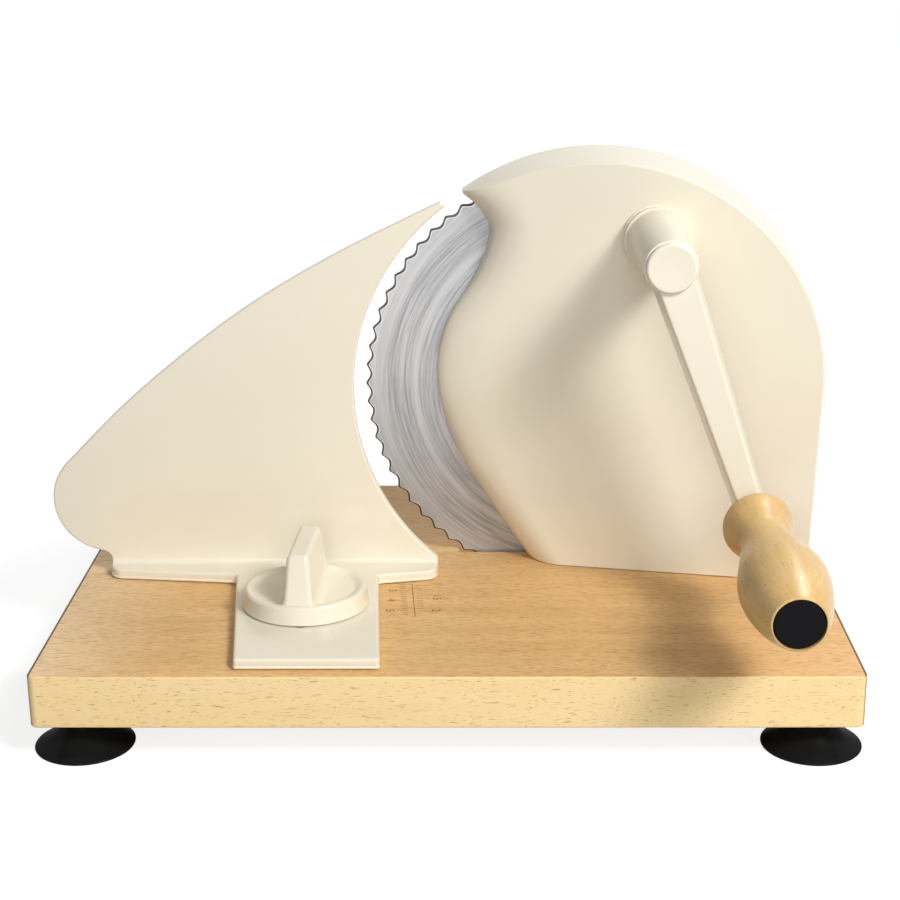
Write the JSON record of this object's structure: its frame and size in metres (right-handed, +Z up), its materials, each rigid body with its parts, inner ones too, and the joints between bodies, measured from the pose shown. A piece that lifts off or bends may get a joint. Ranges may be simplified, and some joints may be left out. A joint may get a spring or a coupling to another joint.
{
  "type": "manual bread slicer",
  "caption": "Hand-cranked bread slicer: toothed disc blade in a cast housing on a wooden board, sliding stop plate with clamp knob, suction feet.",
  "frame": {"origin": "centre of the board's underside, on the plane where the feet's studs enter it", "axes": "+X to the right as seen from the crank side, +Y away from the crank side, +Z up"},
  "size_m": [0.3032, 0.2542, 0.1974],
  "materials": {
    "beech_board": "oiled beech, fine grain",
    "turned_beech": "turned and lacquered",
    "cream_casting": "gloss cream enamel on cast aluminium",
    "foot_rubber": "glossy black",
    "black_plastic": "matte black",
    "gear_nylon": "natural nylon",
    "bearing_brass": "machined",
    "zinc_steel": "bright zinc plated",
    "blade_steel": "ground and brushed stainless steel"
  },
  "bodies": {
    "base": {"board": "beech_board", "foot_front_left": "foot_rubber", "foot_front_right": "foot_rubber", "foot_rear_left": "foot_rubber", "foot_rear_right": "foot_rubber", "foot_stud_front_left": "zinc_steel", "foot_stud_front_right": "zinc_steel", "foot_stud_rear_left": "zinc_steel", "foot_stud_rear_right": "zinc_steel", "housing": "cream_casting", "housing_screw_1": "zinc_steel", "housing_screw_2": "zinc_steel", "housing_screw_3": "zinc_steel", "blade_axle": "zinc_steel", "blade_washer": "zinc_steel", "blade_screw": "zinc_steel", "crank_bush": "bearing_brass", "clamp_insert": "bearing_brass"},
    "cutter": {"blade": "blade_steel", "blade_gear": "gear_nylon", "blade_bush": "bearing_brass", "blade_rivet_1": "zinc_steel", "blade_rivet_2": "zinc_steel", "blade_rivet_3": "zinc_steel"},
    "crank": {"crank_shaft": "zinc_steel", "drive_pinion": "zinc_steel", "crank_arm": "cream_casting", "grip_spindle": "zinc_steel", "grip_washer": "zinc_steel", "grip_nut": "zinc_steel"},
    "handle": {"grip": "turned_beech", "grip_cap": "black_plastic"},
    "stop": {"stop_plate": "cream_casting"},
    "knob": {"clamp_knob": "cream_casting", "clamp_stud": "zinc_steel", "clamp_washer": "zinc_steel"}
  },
  "joints": [
    {"name": "blade_spin", "type": "hinge", "parent": "base", "child": "cutter", "pos_m": [0.0519, 0.0195, 0.09055], "axis": [0, 1, 0], "continuous": true},
    {"name": "crank_turn", "type": "hinge", "parent": "base", "child": "crank", "pos_m": [0.07862, -0.0035, 0.15199], "axis": [0, 1, 0], "continuous": true},
    {"name": "grip_spin", "type": "hinge", "parent": "crank", "child": "handle", "pos_m": [0.11166, -0.1, 0.05867], "axis": [0, 1, 0], "continuous": true},
    {"name": "stop_slide", "type": "slide", "parent": "base", "child": "stop", "axis": [0, -1, 0], "range_m": [-0.02, 0.014]},
    {"name": "knob_turn", "type": "hinge", "parent": "base", "child": "knob", "pos_m": [-0.0529, -0.0465, 0.024], "axis": [0, 0, 1], "range_deg": [0, 180]}
  ],
  "couplings": [
    {"joint": "crank_turn", "follows": "blade_spin", "ratio": -2.1905}
  ]
}
